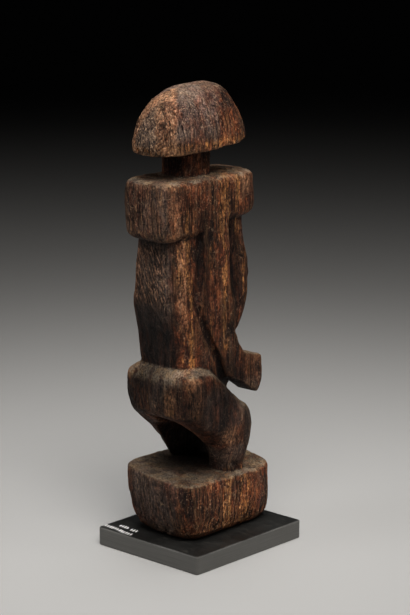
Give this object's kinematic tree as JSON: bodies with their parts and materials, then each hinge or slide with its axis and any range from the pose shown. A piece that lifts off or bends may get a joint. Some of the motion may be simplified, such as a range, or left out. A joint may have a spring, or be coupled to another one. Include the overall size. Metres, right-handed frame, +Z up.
{
  "type": "carved wooden figure on display plinth",
  "caption": "Small carved wooden seated figure with a plain dome head, block shoulders, bent arms and legs and a block base, on a thin black rectangular plinth.",
  "frame": {"origin": "centre of the plinth's underside, where the part rests", "axes": "+Z up along the figure, -Y the way the figure faces, -X its right hand side"},
  "size_m": [0.088, 0.104, 0.3035],
  "materials": {
    "figure": "hand-carved dark hardwood with a dull, dusty patina, open weathered grain and worn ochre streaks",
    "plinth": "satin black paint, lightly dusty, edges a little rubbed"
  },
  "bodies": {
    "root": {"figure": "figure", "plinth": "plinth"}
  },
  "joints": []
}
